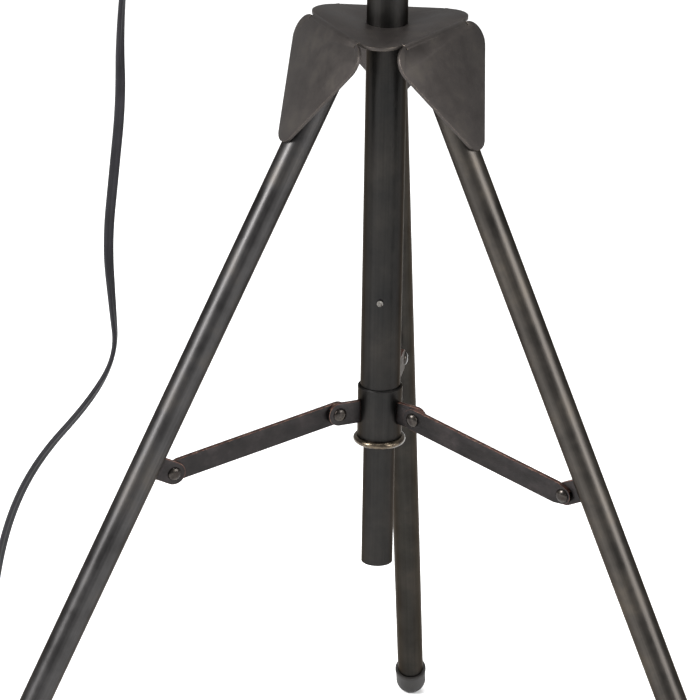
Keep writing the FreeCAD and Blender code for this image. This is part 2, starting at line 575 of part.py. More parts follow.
for s in (-1, 1):
    shoulder = D["yoke_in"] - 0.3 - (DR - 3.0)
    profile = [(0.0, 0.0), (14.0, 0.0), (14.0, shoulder), (4.0, shoulder), (4.0, 34.0), (0.0, 34.0)]
    turn = Y_AXIS if s > 0 else Rot(V(1, 0, 0), 90)
    body = revolved("pivot_body_%d" % (s + 1), profile, (0, s * (DR - 3.0), HZ), turn)
    trim = cyl("pivot_trim_%d" % (s + 1), "dims.drum_dia / 2", 100.0, (-50, 0, HZ), X_AXIS)
    pivots.append(cut("tilt_pivot_%d" % (s + 1), body, trim))
node("tilt_pivots", separate("tilt_pivots_f", pivots))
for s, label in ((-1, "tilt_knob_front"), (1, "tilt_knob_rear")):
    turn = Y_AXIS if s > 0 else Rot(V(1, 0, 0), 90)
    start = D["yoke_in"] + D["yoke_thk"] + 0.3
    body = revolved(label + "_f", [
        (4.06, 0.0), (8.0, 0.0), (9.0, 3.0), (15.0, 6.0), (16.5, 8.0), (16.5, 18.0), (14.5, 20.5),
        (0.0, 22.0), (0.0, 20.6), (4.06, 20.6)], (0, s * start, HZ), turn)
    node(label, body)

# ---------------------------------------------------------------- cord, switch, coil and plug
CD = D["cord_dia"]
SW_X = -167.0
SW_TOP = 1166.0
SW_LOW = 1106.0
sw_raw = group("switch_raw", box("switch_block", (20.0, 14.0, 44.0), (SW_X - 10, -7, 1114)),
               cone("switch_nose_low", 5.0, 7.0, 8.0, (SW_X, 0, SW_LOW)),
               cone("switch_nose_top", 7.0, 5.0, 8.0, (SW_X, 0, SW_TOP - 8)))
rocker_bay = box("rocker_bay", (9.0, 6.0, 20.0), (SW_X - 4.5, -7.5, 1126))
entry_low = cyl("switch_entry_low", 3.75, 12.0, (SW_X, 0, SW_LOW))
entry_top = cyl("switch_entry_top", 3.75, 12.0, (SW_X, 0, SW_TOP - 12))
node("switch_body", cut("switch_body_f", sw_raw, rocker_bay, entry_low, entry_top))
rock_raw = cyl("rocker_round", 12.0, 8.2, (SW_X - 4.1, 3.0, 1136), X_AXIS)
rock_keep = box("rocker_keep", (8.2, 5.5, 17.0), (SW_X - 4.1, -9.0, 1127.5))
node("switch_rocker", common("switch_rocker_f", rock_raw, rock_keep))


def cord_path(points):
    # straight runs joined by tangent arcs, each as large as its two runs allow
    edges = []
    start = points[0]
    radii = []
    for i in range(1, len(points) - 1):
        p = points[i]
        a = points[i - 1] - p
        b = points[i + 1] - p
        shorter = min(a.Length, b.Length)
        a.normalize()
        b.normalize()
        half_turn = (math.pi - math.acos(max(-1.0, min(1.0, a.dot(b))))) / 2
        radius = 0.45 * shorter / math.tan(half_turn)
        radii.append((round(radius, 1), round(math.degrees(2 * half_turn), 1)))
        t0 = p + a * (0.45 * shorter)
        t1 = p + b * (0.45 * shorter)
        mid_dir = (a + b).normalize()
        centre_gap = radius / math.cos(half_turn)
        mid = p + mid_dir * (centre_gap - radius)
        edges.append(Part.LineSegment(start, t0).toShape())
        edges.append(Part.Arc(t0, mid, t1).toShape())
        start = t1
    edges.append(Part.LineSegment(start, points[-1]).toShape())
    return Part.Wire(edges), radii


def cord_tube(label, points, dia):
    wire, radii = cord_path(points)
    d = (points[1] - points[0]).normalize()
    ring = Part.Wire([Part.Circle(points[0], d, dia / 2).toShape()])
    solid = wire.makePipeShell([ring], True, False)
    solid = Part.Solid(solid) if solid.ShapeType != "Solid" else solid
    expect = math.pi * dia * dia / 4 * wire.Length
    print(label, "length %.0f" % wire.Length, "volume ratio %.4f" % (abs(solid.Volume) / expect))
    print(label, "radius, turn:", radii, "smallest in diameters %.1f" % (min(r for r, t in radii) / dia))
    return solid


UPPER = [V(-168.0, 0, 1289.0), V(-168.9, 0.5, 1258.0), V(-168.4, -0.5, 1214.0), V(-167.0, 0, 1166.0 - 6.0)]
LOWER = [
    V(-167.0, 0, 1106.0 + 6.0), V(-167.3, 0.4, 1040.0), V(-166.2, -0.5, 945.0), V(-165.6, 0.4, 850.0),
    V(-164.6, 0.0, 755.0), V(-165.3, 0.3, 680.0), V(-168.4, 0.0, 615.0), V(-168.9, 0.2, 570.0),
    V(-173.6, 0.0, 522.0), V(-177.4, 0.2, 474.0), V(-173.6, 0.0, 431.0), V(-174.2, 0.3, 398.0),
    V(-192.5, 0.0, 364.5), V(-226.8, 4.0, 317.4), V(-249.0, 12.0, 266.0), V(-262.0, 25.0, 200.0),
    V(-272.0, 40.0, 125.0), V(-278.0, 58.0, 62.0), V(-276.0, 84.0, 22.0), V(-268.0, 120.0, 3.5),
    V(-259.0, 158.0, 3.5), V(-250.0, 194.0, 3.6), V(-245.5, 226.0, 5.0),
]
node("cord_upper", loose("cord_upper_f", cord_tube("cord_upper", UPPER, CD)))
node("cord_lower", loose("cord_lower_f", cord_tube("cord_lower", LOWER, CD)))
COIL_C = (-210.0, 232.0)
CM = D["coil_mid_dia"] / 2
node("cord_coil", revolved("cord_coil_f", [
    (CM - 7.0, 2.0), (CM - 5.0, 0.0), (CM + 5.0, 0.0), (CM + 7.0, 2.0), (CM + 7.0, D["coil_height"] - 2.0),
    (CM + 5.0, D["coil_height"]), (CM - 5.0, D["coil_height"]), (CM - 7.0, D["coil_height"] - 2.0)],
    (COIL_C[0], COIL_C[1], 0)))

TAIL = [
    V(-173.5, 236.0, 5.0), V(-173.0, 206.0, 3.6), V(-178.0, 178.0, 3.5), V(-179.0, 150.0, 4.2),
    V(-177.0, 124.0, 6.0),
]
node("cord_tail", loose("cord_tail_f", cord_tube("cord_tail", TAIL, CD)))
plug_raw = group("plug_raw", box("plug_block", (24.0, 24.0, 12.0), (-189.0, 84.0, 0.0)),
                 cone("plug_neck", 5.8, 4.4, 18.0, (-177.0, 107.5, 6.0), Y_AXIS))
plug_body = cut("plug_body", plug_raw, cyl("plug_entry", 3.3, 10.0, (-177.0, 116.0, 6.0), Y_AXIS))
node("plug", plug_body)
blades = []
for i, s in enumerate((-1, 1)):
    blades.append(box("blade_%d" % i, (1.5, 20.0, 6.4), (-177.75 + s * 6.35, 64.0, 2.8)))
node("plug_blades", separate("plug_blades_f", blades))

doc.recompute()
bad = []
for o in doc.Objects:
    if "Invalid" in o.State or "Error" in o.State:
        bad.append(o.Name + " state")
for label, o in NODES.items():
    if o.Shape.isNull() or not o.Shape.isValid():
        bad.append(label + " shape")
print("problems:", bad)
if bad:
    raise SystemExit("broken: " + ", ".join(bad))
for label, o in NODES.items():
    bb = o.Shape.BoundBox
    print("%-20s solids %d vol %.0f  x %.1f..%.1f y %.1f..%.1f z %.1f..%.1f" % (
        label, len(o.Shape.Solids), o.Shape.Volume, bb.XMin, bb.XMax, bb.YMin, bb.YMax, bb.ZMin, bb.ZMax))
    o.Shape.exportStep("parts/%s.step" % label)
print(len(NODES), "nodes")
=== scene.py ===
import json
import math

import bmesh
import bpy
from mathutils import Matrix, Vector


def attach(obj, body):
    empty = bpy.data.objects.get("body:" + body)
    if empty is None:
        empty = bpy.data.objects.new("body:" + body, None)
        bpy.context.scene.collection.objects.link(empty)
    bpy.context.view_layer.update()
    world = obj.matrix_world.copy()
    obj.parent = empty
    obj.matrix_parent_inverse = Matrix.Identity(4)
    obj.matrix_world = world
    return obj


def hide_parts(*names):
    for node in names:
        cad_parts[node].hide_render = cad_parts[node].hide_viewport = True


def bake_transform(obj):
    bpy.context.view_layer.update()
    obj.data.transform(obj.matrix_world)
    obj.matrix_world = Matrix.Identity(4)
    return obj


# Tripod floor lamp in dark bronze lacquer. Metres, floor at Z = 0, mast axis on Z, head along +X.

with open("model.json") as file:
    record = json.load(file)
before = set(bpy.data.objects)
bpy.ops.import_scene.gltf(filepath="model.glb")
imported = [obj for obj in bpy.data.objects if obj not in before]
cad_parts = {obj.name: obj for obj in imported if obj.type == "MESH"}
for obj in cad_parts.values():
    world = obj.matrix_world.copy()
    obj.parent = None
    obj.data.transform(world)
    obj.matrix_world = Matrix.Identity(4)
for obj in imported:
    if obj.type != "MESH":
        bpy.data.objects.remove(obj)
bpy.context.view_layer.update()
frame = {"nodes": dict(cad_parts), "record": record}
MM = 0.001
NODES = frame["nodes"]
SIDES = {"left": 210.0, "right": 330.0, "rear": 90.0}
SPLAY = math.radians(26.9)
# places in millimetres: the leg hinge pins, the two pivots of a strut, and the head's tilt axis
PIN_R = 23.75 + 22.0 * math.tan(SPLAY)
PIN_Z = 608.0
INNER_R, INNER_Z = 28.9, 369.2
OUTER_R, OUTER_Z = 144.3, 346.9
STRUT_L = math.hypot(OUTER_R - INNER_R, INNER_Z - OUTER_Z)
STRUT_DOWN = math.asin((INNER_Z - OUTER_Z) / STRUT_L)
HEAD_Z = 1365.0
# half an ear's or lug's thickness, the gap beside it, and a strut's thickness
HALF_EAR, SIDE_GAP, STRUT_THK = 1.5, 0.35, 3.0


# ------------------------------------------------------------------ small helpers
def only(obj):
    for o in bpy.context.selected_objects:
        o.select_set(False)
    bpy.context.view_layer.objects.active = obj
    if obj is not None:
        obj.select_set(True)
    return obj


def rest(obj, place=None):
    # settles the piece at the origin, unturned and unscaled, with its place in its mesh
    only(obj)
    if place is not None:
        obj.matrix_world = place @ obj.matrix_world
    bpy.ops.object.transform_apply(location=True, rotation=True, scale=True)
    return obj


def smooth(obj, angle=35.0):
    only(obj)
    bpy.ops.object.shade_smooth_by_angle(angle=math.radians(angle))
    return obj


def pick(obj, test):
    # in edit mode, selects only the faces that pass the test
    mesh = bmesh.from_edit_mesh(obj.data)
    for f in mesh.faces:
        f.select_set(False)
    for e in mesh.edges:
        e.select_set(False)
    for v in mesh.verts:
        v.select_set(False)
    for f in mesh.faces:
        if test(f.calc_center_median(), f.normal):
            f.select_set(True)
    bmesh.update_edit_mesh(obj.data)


def turned(name, profile, place=None, segments=48, closed=False):
    # lathe work: a circle extruded and resized up the profile, (radius, height) pairs in mm
    only(None)
    pts = [(r * MM, z * MM) for r, z in profile]
    r0, z0 = pts[0]
    bpy.ops.mesh.primitive_circle_add(vertices=segments, radius=r0, location=(0, 0, z0))
    obj = bpy.context.active_object
    obj.name = name
    obj.data.name = name
    rest(obj)
    bpy.ops.object.mode_set(mode="EDIT")
    bpy.ops.mesh.select_all(action="SELECT")
    r_now, z_now = r0, z0
    for r, z in pts[1:]:
        bpy.ops.mesh.extrude_region_move(TRANSFORM_OT_translate={"value": (0, 0, z - z_now)})
        k = max(r, 1e-5) / r_now
        bpy.ops.transform.resize(value=(k, k, 1), center_override=(0, 0, z))
        r_now, z_now = max(r, 1e-5), z
    bpy.ops.mesh.select_all(action="DESELECT")
    bpy.ops.mesh.select_mode(type="EDGE")
    bpy.ops.mesh.select_non_manifold()
    if closed:
        bpy.ops.mesh.bridge_edge_loops()
    else:
        bpy.ops.mesh.fill_holes(sides=0)
    bpy.ops.mesh.select_all(action="SELECT")
    bpy.ops.mesh.remove_doubles(threshold=2e-6)
    bpy.ops.mesh.normals_make_consistent(inside=False)
    bpy.ops.object.mode_set(mode="OBJECT")
    rest(obj, place)
    return smooth(obj)


def soften(obj, width_mm, angle=32.0, steps=2, edge_material=-1):
    # rounds the sharp edges that a real cut, moulded or pressed piece never has
    only(obj)
    bevel = obj.modifiers.new("edge", "BEVEL")
    bevel.width = width_mm * MM
    bevel.segments = steps
    bevel.limit_method = "ANGLE"
    bevel.angle_limit = math.radians(angle)
    bevel.material = edge_material
    bevel.use_clamp_overlap = True
    bpy.ops.object.modifier_apply(modifier="edge")
    return smooth(obj, 40.0)


def body_of_node(name):
    for body, nodes in frame["record"]["behaviour"]["bodies"].items():
        if name in nodes:
            return body
    raise KeyError(name)


def refined(node, materials, bevel=0.0, angle=32.0, edge=-1, flat=1.0):
    # a finished copy of a CAD node: one welded skin with eased edges
    src = NODES[node]
    obj = src.copy()
    obj.data = src.data.copy()
    obj.name = node + "_finished"
    obj.data.name = obj.name
    for key in list(obj.keys()):
        del obj[key]
    obj.parent = None
    bpy.context.scene.collection.objects.link(obj)
    obj.matrix_world = src.matrix_world.copy()
    obj.modifiers.clear()
    obj.data.materials.clear()
    for m in materials:
        obj.data.materials.append(m)
    only(obj)
    obj.hide_set(False)
    rest(obj)
    bpy.ops.object.mode_set(mode="EDIT")
    bpy.ops.mesh.select_all(action="SELECT")
    bpy.ops.mesh.remove_doubles(threshold=1e-6)
    bpy.ops.mesh.customdata_custom_splitnormals_clear()
    if flat:
        bpy.ops.mesh.dissolve_limited(angle_limit=math.radians(flat))
    bpy.ops.mesh.select_all(action="DESELECT")
    bpy.ops.object.mode_set(mode="OBJECT")
    for p in obj.data.polygons:
        p.material_index = 0
    if bevel:
        soften(obj, bevel, angle, 2, edge)
    else:
        smooth(obj)
    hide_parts(node)
    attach(obj, body_of_node(node))
    return obj


def worn_and_lit_tops(obj):
    # the upward faces of a flat bar take its second material: partly lacquer thinned by handling, partly
    # painted highlight where the top light falls
    for face in obj.data.polygons:
        if face.normal.z > 0.5:
            face.material_index = 1
    return obj


def block(name, place, size):
    # a rectangular start for a moulded piece, its centre and sizes in metres
    only(None)
    bpy.ops.mesh.primitive_cube_add(size=1.0, location=place)
    obj = bpy.context.active_object
    obj.name = name
    obj.data.name = name
    obj.scale = size
    return rest(obj)


def joined(name, *objs):
    only(objs[0])
    for o in objs:
        o.select_set(True)
    bpy.context.view_layer.objects.active = objs[0]
    bpy.ops.object.join()
    objs[0].name = name
    objs[0].data.name = name
    return objs[0]


def dress(obj, *materials):
    obj.data.materials.clear()
    for m in materials:
        obj.data.materials.append(m)
    return obj


def fitted(obj, nodes, body):
    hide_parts(*nodes)
    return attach(obj, body)


def radial(azimuth, r, z):
    a = math.radians(azimuth)
    return Vector((r * math.cos(a), r * math.sin(a), z)) * MM


def leg_frame(azimuth):
    turn = Matrix.Rotation(math.radians(azimuth), 4, "Z") @ Matrix.Rotation(-SPLAY, 4, "Y")
    return Matrix.Translation(radial(azimuth, PIN_R, PIN_Z)) @ turn


def strut_frame(azimuth):
    turn = Matrix.Rotation(math.radians(azimuth), 4, "Z") @ Matrix.Rotation(STRUT_DOWN, 4, "Y")
    return Matrix.Translation(radial(azimuth, INNER_R, INNER_Z)) @ turn


def shift(x, y, z):
    return Matrix.Translation(Vector((x, y, z)) * MM)


# turns local +Z to +Y, -Y and +X
TO_PLUS_Y = Matrix.Rotation(math.radians(-90), 4, "X")
TO_MINUS_Y = Matrix.Rotation(math.radians(90), 4, "X")
TO_PLUS_X = Matrix.Rotation(math.radians(90), 4, "Y")


# ------------------------------------------------------------------ materials
def colour(code):
    # sRGB hex to linear
    out = []
    for i in (0, 2, 4):
        c = int(code[i:i + 2], 16) / 255
        out.append(c / 12.92 if c <= 0.04045 else ((c + 0.055) / 1.055) ** 2.4)
    return (*out, 1.0)


def feed(tree, node, **links):
    # links into a node's sockets from (node, output) pairs; an underscore stands for a space
    for key, (source, output) in links.items():
        tree.links.new(source.outputs[output], node.inputs[key.replace("_", " ")])
    return node


def add(tree, kind, settings=None, **links):
    # one node, its settings and its links; the stops of a colour ramp are (place, colour) pairs
    n = tree.nodes.new(kind)
    for key, value in (settings or {}).items():
        if key == "stops":
            band = n.color_ramp.elements
            while len(band) < len(value):
                band.new(0.5)
            for e, (at, code) in zip(band, value):
                e.position = at
                e.color = colour(code)
        elif isinstance(key, str) and hasattr(n, key):
            setattr(n, key, value)
        else:
            n.inputs[key].default_value = value
    return feed(tree, n, **links)


def start(name, rough, metal, base, **extra):
    # an empty material with its shader and its Object coordinates
    m = bpy.data.materials.new(name)
    m.use_nodes = True
    tree = m.node_tree
    tree.nodes.clear()
    looks = {"Base Color": colour(base), "Roughness": rough, "Metallic": metal}
    looks.update((key.replace("_", " "), value) for key, value in extra.items())
    shader = add(tree, "ShaderNodeBsdfPrincipled", looks)
    add(tree, "ShaderNodeOutputMaterial", Surface=(shader, "BSDF"))
    return m, tree, shader, add(tree, "ShaderNodeTexCoord")


def grain(size_mm, detail, rough=0.5):
    # settings of a noise whose features are this size
    return {"Scale": 1 / (size_mm * MM), "Detail": detail, "Roughness": rough}


def lacquered_bronze(name, dark, mid, light, rough, metal, blotch_mm,
                     turn=(0.0, 0.0, 0.0), drawn=0.0, glance="bcb8b4"):
    # Dark bronze lacquer over steel: a satin skin, clouded by hand rubbing, with fine spray grain.
    # On a drawn tube the faint draw lines run along its length.
    # Lacquer dulls a tube at a glancing angle, which the glance tint gives.
    m, tree, shader, where = start(name, rough, metal, mid, Specular_Tint=colour(glance))
    turned_to = add(tree, "ShaderNodeMapping", {"Rotation": turn}, Vector=(where, "Object"))
    cloud = add(tree, "ShaderNodeTexNoise", grain(blotch_mm, 6.0, 0.64), Vector=(turned_to, "Vector"))
    tint = add(tree, "ShaderNodeValToRGB", {"stops": [(0.30, dark), (0.52, mid), (0.72, light)]},
               Fac=(cloud, "Fac"))
    # draw lines 1.4 mm apart and about 150 mm long, drawn coarser than real ones so that they show
    along = add(tree, "ShaderNodeMapping", {"Scale": (1.0, 1.0, 0.01)}, Vector=(turned_to, "Vector"))
    lines = add(tree, "ShaderNodeTexNoise", grain(1.4, 3.0, 0.6), Vector=(along, "Vector"))
    shade = add(tree, "ShaderNodeMapRange", {"From Min": 0.25, "From Max": 0.75, "To Min": 1.0 - drawn,
                                             "To Max": 1.0 + drawn}, Value=(lines, "Fac"))
    skin = add(tree, "ShaderNodeVectorMath", {"operation": "SCALE"}, Scale=(shade, "Result"))
    tree.links.new(tint.outputs["Color"], skin.inputs[0])
    satin = add(tree, "ShaderNodeMapRange", {"From Min": 0.3, "From Max": 0.7, "To Min": rough - 0.05,
                                             "To Max": rough + 0.09}, Value=(cloud, "Fac"))
    spray = add(tree, "ShaderNodeTexNoise", grain(0.9, 3.0, 0.6), Vector=(where, "Object"))
    bump = add(tree, "ShaderNodeBump", {"Strength": 0.25, "Distance": 0.00006}, Height=(spray, "Fac"))
    feed(tree, shader, Base_Color=(skin, "Vector"), Roughness=(satin, "Result"), Normal=(bump, "Normal"))
    return m


BRONZE_TUBE = lacquered_bronze("lacquered_bronze_tube", "202020", "272625", "2f2d2b", 0.38, 1.0, 34.0,
                               drawn=0.14)
# lit and shaded copies of one leg lacquer, one per leg: the rear leg's copy is darker as painted shade,
# the left and right copies lighter as painted light
BRONZE_LEG_LIT_AND_SHADED = {}
LEG_TINT_LIT_AND_SHADED = {"left": ("302f2f", "3a3939", "423f3c"), "right": ("302e2c", "3b3835", "47423c"),
            "rear": ("222120", "2a2927", "33302d")}
for leg, leg_az in SIDES.items():
    to_leg = Matrix.Rotation(SPLAY, 3, "Y") @ Matrix.Rotation(math.radians(-leg_az), 3, "Z")
    BRONZE_LEG_LIT_AND_SHADED[leg] = lacquered_bronze("lacquered_bronze_leg_light_and_shade_" + leg, *LEG_TINT_LIT_AND_SHADED[leg], 0.37, 1.0, 30.0,
                                       tuple(to_leg.to_euler("XYZ")), 0.16)
BRONZE_SHEET = lacquered_bronze("lacquered_bronze_pressed_sheet", "373331", "3c3836", "423e3a", 0.48, 0.9,
                                16.0, glance="ffffff")
BRONZE_BAR = lacquered_bronze("lacquered_bronze_flat_bar", "222121", "2a2828", "353131", 0.42, 0.95, 13.0)
BRONZE_SHADE = lacquered_bronze("lacquered_bronze_spun_shade", "282625", "312f2d", "3a3633", 0.40, 0.95,
                                60.0)


def rubbed_edge_and_glint(name, base, rough):
    # Bare brassy steel where the lacquer has worn off an edge, also standing in for painted glints and
    # painted highlight on the edges and tops that catch the light.
    m, tree, shader, where = start(name, rough, 0.9, base)
    chips = add(tree, "ShaderNodeTexNoise", grain(3.0, 4.0, 0.7), Vector=(where, "Object"))
    tint = add(tree, "ShaderNodeValToRGB", {"stops": [(0.35, "3a302b"), (0.55, base), (0.75, "8d7a66")]},
               Fac=(chips, "Fac"))
    feed(tree, shader, Base_Color=(tint, "Color"))
    return m


# the sheet's edge colour is brightened as a painted glint; the bar's reddish edge colour is partly wear,
# partly painted highlight
EDGE_SHEET_WEAR_AND_GLINT = rubbed_edge_and_glint("rubbed_sheet_edge_painted_glint", "756a5e", 0.30)
EDGE_BAR_WEAR_AND_SHEEN = rubbed_edge_and_glint("rubbed_bar_top_painted_sheen", "5e413a", 0.42)


def antique_plate(name, base, bright, rough):
    # Antique bronze plating on a turned or headed piece, mottled at random from brown to bright.
    m, tree, shader, where = start(name, rough, 0.92, base)
    stain = add(tree, "ShaderNodeTexNoise", grain(4.0, 5.0, 0.65), Vector=(where, "Object"))
    tint = add(tree, "ShaderNodeValToRGB", {"stops": [(0.32, "26211e"), (0.5, base), (0.76, bright)]},
               Fac=(stain, "Fac"))
    pits = add(tree, "ShaderNodeTexNoise", grain(0.5, 2.0), Vector=(where, "Object"))
    bump = add(tree, "ShaderNodeBump", {"Strength": 0.15, "Distance": 0.00005}, Height=(pits, "Fac"))
    feed(tree, shader, Base_Color=(tint, "Color"), Normal=(bump, "Normal"))
    return m


RIVET = antique_plate("antique_plated_rivet", "2f2c2a", "4b453e", 0.26)
BEAD = antique_plate("antique_plated_bead", "4a4238", "6f6454", 0.26)
PIN_STEEL = antique_plate("zinc_plated_pin", "6a6864", "8f8d88", 0.35)


def moulded(name, base, light, rough, pebble_mm=0.7, depth=0.00005, gloss=0.5):
    # Injection-moulded plastic or rubber with a fine spark-eroded texture.
    m, tree, shader, where = start(name, rough, 0.0, base, IOR=1.5, Specular_IOR_Level=gloss)
    pebble = add(tree, "ShaderNodeTexNoise", grain(pebble_mm, 3.0, 0.55), Vector=(where, "Object"))
    wide = add(tree, "ShaderNodeTexNoise", grain(14.0, 4.0), Vector=(where, "Object"))
    tint = add(tree, "ShaderNodeValToRGB", {"stops": [(0.3, base), (0.7, light)]}, Fac=(wide, "Fac"))
    bump = add(tree, "ShaderNodeBump", {"Strength": 0.3, "Distance": depth}, Height=(pebble, "Fac"))
    feed(tree, shader, Base_Color=(tint, "Color"), Normal=(bump, "Normal"))
    return m


FOOT = moulded("moulded_foot_cap", "12100f", "1b1917", 0.60, gloss=0.3)
KNOB = moulded("moulded_phenolic_knob", "171615", "23211f", 0.36)
SWITCH = moulded("moulded_switch_shell", "1b1a1a", "262424", 0.42)
HOLDER = moulded("moulded_lampholder", "151515", "1e1d1d", 0.45)
NYLON = moulded("turned_nylon_bush", "1c1c1c", "282828", 0.55)
CORD = moulded("extruded_vinyl_cord", "111013", "1b1a1e", 0.46, 1.6, 0.00004, gloss=0.16)


def opal_glass():
    # Opal glass bulb: milky, with a sharp gloss.
    m, tree, shader, where = start("opal_glass_bulb", 0.14, 0.0, "e9e6de", IOR=1.5)
    milk = add(tree, "ShaderNodeTexNoise", grain(30.0, 2.0), Vector=(where, "Object"))
    tint = add(tree, "ShaderNodeValToRGB", {"stops": [(0.3, "e2dfd6"), (0.7, "f0ede6")]},
               Fac=(milk, "Fac"))
    feed(tree, shader, Base_Color=(tint, "Color"))
    return m


def white_enamel():
    # White stoved enamel inside the shade, slightly orange-peeled.
    m, tree, shader, where = start("stoved_white_enamel", 0.38, 0.0, "dcd9d2", IOR=1.5)
    peel = add(tree, "ShaderNodeTexNoise", grain(1.4, 2.0), Vector=(where, "Object"))
    tint = add(tree, "ShaderNodeValToRGB", {"stops": [(0.3, "d6d3cb"), (0.7, "e0ddd6")]},
               Fac=(peel, "Fac"))
    bump = add(tree, "ShaderNodeBump", {"Strength": 0.2, "Distance": 0.00005}, Height=(peel, "Fac"))
    feed(tree, shader, Base_Color=(tint, "Color"), Normal=(bump, "Normal"))
    return m


def drawn_brass():
    # Nickel-plated brass blades with lengthwise drawing lines.
    m, tree, shader, where = start("drawn_plated_brass", 0.28, 1.0, "b9ab86")
    along = add(tree, "ShaderNodeMapping", {"Scale": (1.0, 0.04, 1.0)}, Vector=(where, "Object"))
    lines = add(tree, "ShaderNodeTexNoise", grain(0.4, 3.0), Vector=(along, "Vector"))
    tint = add(tree, "ShaderNodeValToRGB", {"stops": [(0.3, "a1926c"), (0.7, "cbbf9e")]},
               Fac=(lines, "Fac"))
    feed(tree, shader, Base_Color=(tint, "Color"))
    return m


OPAL = opal_glass()
ENAMEL = white_enamel()
BLADE = drawn_brass()

# ------------------------------------------------------------------ metal carried over from the CAD
# the lugs', struts', ears' and yoke's bevels and upward faces take the edge colour, worn lacquer with
# painted highlight; each leg tube takes its own lit and shaded lacquer copy
for side in SIDES:
    refined("leg_tube_" + side, [BRONZE_LEG_LIT_AND_SHADED[side]], flat=0)
    refined("leg_knuckle_" + side, [BRONZE_BAR], 0.3)
    worn_and_lit_tops(refined("leg_lug_" + side, [BRONZE_BAR, EDGE_BAR_WEAR_AND_SHEEN], 0.35, edge=1))
    worn_and_lit_tops(refined("strut_bar_" + side, [BRONZE_BAR, EDGE_BAR_WEAR_AND_SHEEN], 0.45, edge=1))
refined("centre_tube", [BRONZE_TUBE], flat=0)
refined("mast_tube", [BRONZE_TUBE], flat=0)
# the hub bracket's bevels take the bright edge colour: partly worn lacquer, partly painted glint
refined("hub_bracket", [BRONZE_SHEET, EDGE_SHEET_WEAR_AND_GLINT], 0.5, 40.0, 1)
refined("leg_clevises", [BRONZE_BAR], 0.3)
refined("hinge_pins", [PIN_STEEL], 0.4)
refined("lower_bush", [NYLON], 0.3)
refined("upper_bush", [NYLON], 0.4)
refined("lock_collar", [BRONZE_TUBE], 0.8, 40.0)
refined("travel_stop_pin", [PIN_STEEL])
refined("spreader_sleeve", [BRONZE_TUBE], 0.3, 50.0)
worn_and_lit_tops(refined("spreader_ears", [BRONZE_BAR, EDGE_BAR_WEAR_AND_SHEEN], 0.35, edge=1))
refined("mast_top_boss", [BRONZE_TUBE], 0.5, 40.0)
refined("yoke", [BRONZE_BAR, EDGE_BAR_WEAR_AND_SHEEN], 0.6, 40.0, 1)
refined("yoke_bolt", [PIN_STEEL], 0.4)
refined("shade_drum", [BRONZE_SHADE], flat=0)
back_plate = refined("shade_back", [BRONZE_SHADE, ENAMEL], 0.4, 40.0)
for face in back_plate.data.polygons:
    if face.normal.x > 0.3:
        face.material_index = 1
refined("front_bezel", [BRONZE_SHADE], 0.4, 40.0)
refined("rear_cap", [BRONZE_SHADE], 0.4, 40.0)
refined("tilt_pivots", [PIN_STEEL], 0.5, 40.0)
refined("spreader_bead", [BEAD], flat=0)

# ------------------------------------------------------------------ rivets
RIVET_DOME = [(4.5, 0.0), (4.5, 0.25), (4.2, 0.8), (3.5, 1.35), (2.5, 1.75), (1.3, 1.95), (0.0, 2.0)]


def rivet_head(name, place):
    return turned(name, [(2.5, -0.4)] + RIVET_DOME, place, 32)


sets = []
for side, az in SIDES.items():
    at = Matrix.Translation(radial(az, INNER_R, INNER_Z)) @ Matrix.Rotation(math.radians(az), 4, "Z")
    low = -(HALF_EAR + SIDE_GAP + STRUT_THK + 0.3)
    near = rivet_head("near", at @ shift(0, HALF_EAR, 0) @ TO_PLUS_Y)
    far = rivet_head("far", at @ shift(0, low, 0) @ TO_MINUS_Y)
    shank = turned("shank", [(2.5, low), (2.5, HALF_EAR)], at @ TO_PLUS_Y, 24)
    sets.append(dress(joined("inner_rivet_set_" + side, near, far, shank), RIVET))
    place = strut_frame(az) @ shift(STRUT_L, -(HALF_EAR + SIDE_GAP + STRUT_THK), 0) @ TO_MINUS_Y
    head = rivet_head("strut_rivet_head_" + side, place)
    dress(head, RIVET)
    fitted(head, ["strut_rivet_" + side], "strut_" + side)
    along = Vector((OUTER_R - PIN_R, 0, OUTER_Z - PIN_Z))
    reach = -along.dot(Vector((math.cos(SPLAY), 0, math.sin(SPLAY))))
    down = along.dot(Vector((math.sin(SPLAY), 0, -math.cos(SPLAY))))
    place = leg_frame(az) @ shift(-reach, HALF_EAR, -down) @ TO_PLUS_Y
    head = rivet_head("lug_rivet_head_" + side, place)
    dress(head, RIVET)
    fitted(head, ["lug_rivet_" + side], "leg_" + side)
inner = joined("inner_rivet_heads", *sets)
fitted(inner, ["inner_rivets"], "collar")

# ------------------------------------------------------------------ foot caps
FOOT_R = 11.0
# the dome's centre on the leg's axis, so low that 0.6 mm of the dome is worn flat on the floor
FOOT_BALL = -(PIN_Z - FOOT_R + 0.6) / math.cos(SPLAY)
for side, az in SIDES.items():
    angles = [math.radians(d) for d in range(-86, 1, 8)]
    dome = [(FOOT_R * math.cos(a), FOOT_R * math.sin(a)) for a in angles]
    wall = [(FOOT_R, 3.0), (11.05, 10.4), (11.5, 11.0), (11.5, 12.9), (11.1, 13.5), (9.6, 13.5),
            (9.55, 9.0)]
    cap = turned("foot_cap_" + side, dome + wall, leg_frame(az) @ shift(0, 0, FOOT_BALL), 40)
    only(cap)
    bpy.ops.object.mode_set(mode="EDIT")
    bpy.ops.mesh.select_all(action="SELECT")
    # the small level flat that the cap stands on
    bpy.ops.mesh.bisect(plane_co=(0, 0, 0.00002), plane_no=(0, 0, -1), use_fill=True, clear_outer=True)
    bpy.ops.mesh.select_all(action="SELECT")
    bpy.ops.mesh.normals_make_consistent(inside=False)
    bpy.ops.object.mode_set(mode="OBJECT")
    smooth(dress(cap, FOOT), 40.0)
    fitted(cap, ["leg_foot_" + side], "leg_" + side)


